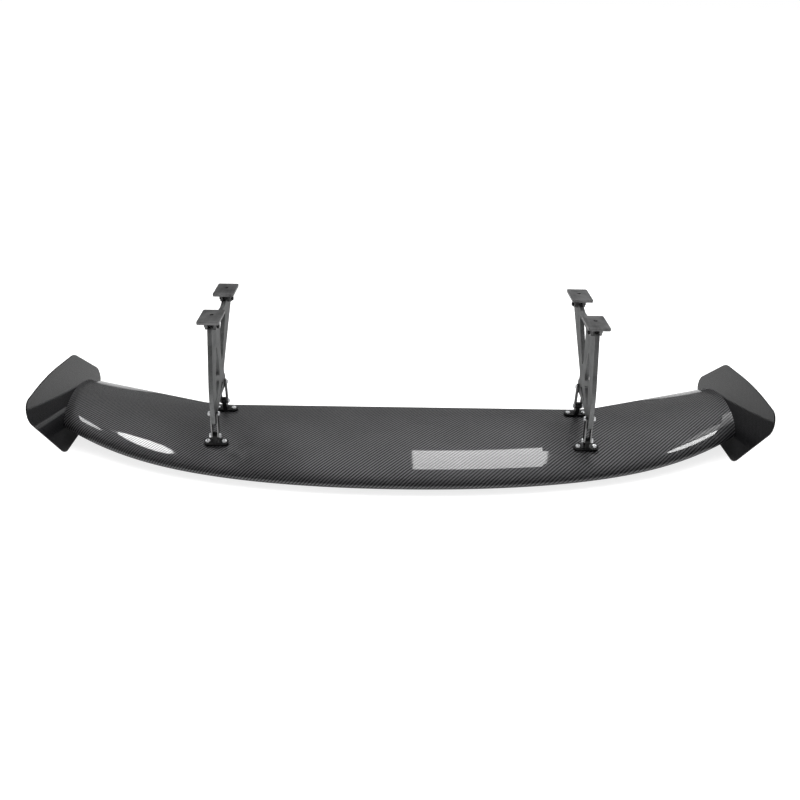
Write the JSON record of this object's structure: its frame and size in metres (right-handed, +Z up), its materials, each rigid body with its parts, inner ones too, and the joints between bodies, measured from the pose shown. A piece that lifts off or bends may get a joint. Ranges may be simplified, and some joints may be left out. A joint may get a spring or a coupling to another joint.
{
  "type": "racing rear wing",
  "caption": "Swept carbon rear wing with flat flared end plates, two truss pedestals on link brackets and tilting feet, lying suction side up.",
  "frame": {"origin": "centre of the wing's box on the floor it lies on; the wing lies upside down, as it is handled off the car", "axes": "+X along the span to the right, +Y from the leading edge to the trailing edge, +Z up from the floor to the pedestal feet; on the car +Z points down"},
  "size_m": [1.5524, 0.4788, 0.3355],
  "materials": {
    "carbon": "twill-weave carbon fibre under gloss clear coat",
    "end_plate": "gloss black laminate",
    "core": "rigid foam and resin core",
    "anodised": "satin dark grey anodised",
    "black": "satin black anodised",
    "link": "satin grey anodised",
    "stainless": "bright stainless"
  },
  "bodies": {
    "wing": {"suction_skin": "carbon", "pressure_skin": "carbon", "end_plate_left": "end_plate", "end_plate_screw_front_left": "stainless", "end_plate_screw_rear_left": "stainless", "tip_rib_left": "core", "insert_front_left": "core", "wing_bracket_front_left": "black", "bracket_screw_front_inner_left": "stainless", "bracket_screw_front_outer_left": "stainless", "pivot_bolt_front_lower_left": "stainless", "pivot_nut_front_lower_left": "stainless", "insert_rear_left": "core", "wing_bracket_rear_left": "black", "bracket_screw_rear_inner_left": "stainless", "bracket_screw_rear_outer_left": "stainless", "pivot_bolt_rear_lower_left": "stainless", "pivot_nut_rear_lower_left": "stainless", "end_plate_right": "end_plate", "end_plate_screw_front_right": "stainless", "end_plate_screw_rear_right": "stainless", "tip_rib_right": "core", "insert_front_right": "core", "wing_bracket_front_right": "black", "bracket_screw_front_inner_right": "stainless", "bracket_screw_front_outer_right": "stainless", "pivot_bolt_front_lower_right": "stainless", "pivot_nut_front_lower_right": "stainless", "insert_rear_right": "core", "wing_bracket_rear_right": "black", "bracket_screw_rear_inner_right": "stainless", "bracket_screw_rear_outer_right": "stainless", "pivot_bolt_rear_lower_right": "stainless", "pivot_nut_rear_lower_right": "stainless"},
    "pedestal_left": {"pedestal_left": "anodised", "foot_screw_front_left": "black", "pivot_bolt_rear_upper_left": "stainless", "pivot_nut_rear_upper_left": "stainless", "foot_screw_rear_left": "black"},
    "front_links_left": {"link_front_inner_left": "link", "link_front_outer_left": "link", "pivot_bolt_front_upper_left": "stainless", "pivot_nut_front_upper_left": "stainless"},
    "foot_front_left": {"foot_front_left": "black"},
    "rear_links_left": {"link_rear_inner_left": "link", "link_rear_outer_left": "link"},
    "foot_rear_left": {"foot_rear_left": "black"},
    "pedestal_right": {"pedestal_right": "anodised", "foot_screw_front_right": "black", "pivot_bolt_rear_upper_right": "stainless", "pivot_nut_rear_upper_right": "stainless", "foot_screw_rear_right": "black"},
    "front_links_right": {"link_front_inner_right": "link", "link_front_outer_right": "link", "pivot_bolt_front_upper_right": "stainless", "pivot_nut_front_upper_right": "stainless"},
    "foot_front_right": {"foot_front_right": "black"},
    "rear_links_right": {"link_rear_inner_right": "link", "link_rear_outer_right": "link"},
    "foot_rear_right": {"foot_rear_right": "black"}
  },
  "joints": [
    {"name": "front_link_swing_left", "type": "hinge", "parent": "wing", "child": "front_links_left", "pos_m": [-0.3975, -0.12928, 0.08046], "axis": [1, 0, 0], "range_deg": [-8, 8]},
    {"name": "pedestal_tilt_left", "type": "hinge", "parent": "front_links_left", "child": "pedestal_left", "pos_m": [-0.3975, -0.12728, 0.13146], "axis": [1, 0, 0], "range_deg": [-8.7, 8.7]},
    {"name": "rear_link_swing_left", "type": "hinge", "parent": "pedestal_left", "child": "rear_links_left", "pos_m": [-0.3975, -0.01628, 0.15646], "axis": [1, 0, 0], "range_deg": [-8.7, 8.7]},
    {"name": "foot_tilt_front_left", "type": "hinge", "parent": "pedestal_left", "child": "foot_front_left", "pos_m": [-0.3975, -0.08828, 0.31346], "axis": [1, 0, 0], "range_deg": [-8, 8]},
    {"name": "foot_tilt_rear_left", "type": "hinge", "parent": "pedestal_left", "child": "foot_rear_left", "pos_m": [-0.3975, 0.09172, 0.31346], "axis": [1, 0, 0], "range_deg": [-8, 8]},
    {"name": "front_link_swing_right", "type": "hinge", "parent": "wing", "child": "front_links_right", "pos_m": [0.3975, -0.12928, 0.08046], "axis": [1, 0, 0], "range_deg": [-8, 8]},
    {"name": "pedestal_tilt_right", "type": "hinge", "parent": "front_links_right", "child": "pedestal_right", "pos_m": [0.3975, -0.12728, 0.13146], "axis": [1, 0, 0], "range_deg": [-8.7, 8.7]},
    {"name": "rear_link_swing_right", "type": "hinge", "parent": "pedestal_right", "child": "rear_links_right", "pos_m": [0.3975, -0.01628, 0.15646], "axis": [1, 0, 0], "range_deg": [-8.7, 8.7]},
    {"name": "foot_tilt_front_right", "type": "hinge", "parent": "pedestal_right", "child": "foot_front_right", "pos_m": [0.3975, -0.08828, 0.31346], "axis": [1, 0, 0], "range_deg": [-8, 8]},
    {"name": "foot_tilt_rear_right", "type": "hinge", "parent": "pedestal_right", "child": "foot_rear_right", "pos_m": [0.3975, 0.09172, 0.31346], "axis": [1, 0, 0], "range_deg": [-8, 8]}
  ],
  "couplings": [
    {"joint": "pedestal_tilt_left", "follows": "front_link_swing_left", "ratio": -1.0726},
    {"joint": "rear_link_swing_left", "follows": "front_link_swing_left", "ratio": 1.0765},
    {"joint": "pedestal_tilt_right", "follows": "front_link_swing_right", "ratio": -1.0726},
    {"joint": "rear_link_swing_right", "follows": "front_link_swing_right", "ratio": 1.0765}
  ]
}
